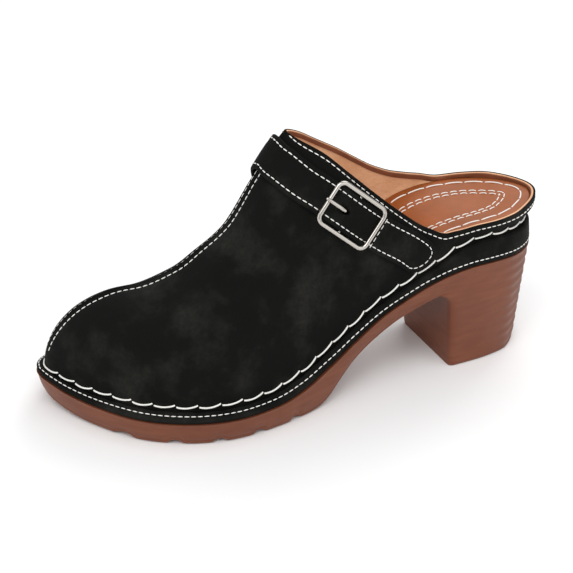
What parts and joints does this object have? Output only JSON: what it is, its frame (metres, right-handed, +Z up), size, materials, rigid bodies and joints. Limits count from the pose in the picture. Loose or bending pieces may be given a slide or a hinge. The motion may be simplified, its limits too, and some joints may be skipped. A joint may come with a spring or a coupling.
{
  "type": "block heel mule",
  "caption": "Clog mule with a low open heel rim, a buckled instep strap, a stitched strip round its base and a one-piece moulded sole with a block heel, for the left foot.",
  "frame": {"origin": "on the floor under the middle of the heel's tread", "axes": "+Z up, +Y from the heel to the toe, +X to the wearer's right, which is the inner side of this left shoe"},
  "size_m": [0.0932, 0.2488, 0.1258],
  "materials": {
    "sole": "satin moulded brown",
    "rand": "matt black nap",
    "upper": "matt black nap",
    "insole": "smooth tan",
    "strap": "matt black nap",
    "metal": "polished silver"
  },
  "bodies": {
    "root": {"sole": "sole", "rand": "rand", "upper": "upper", "insole": "insole", "strap": "strap", "buckle_frame": "metal", "buckle_prong": "metal"}
  },
  "joints": []
}
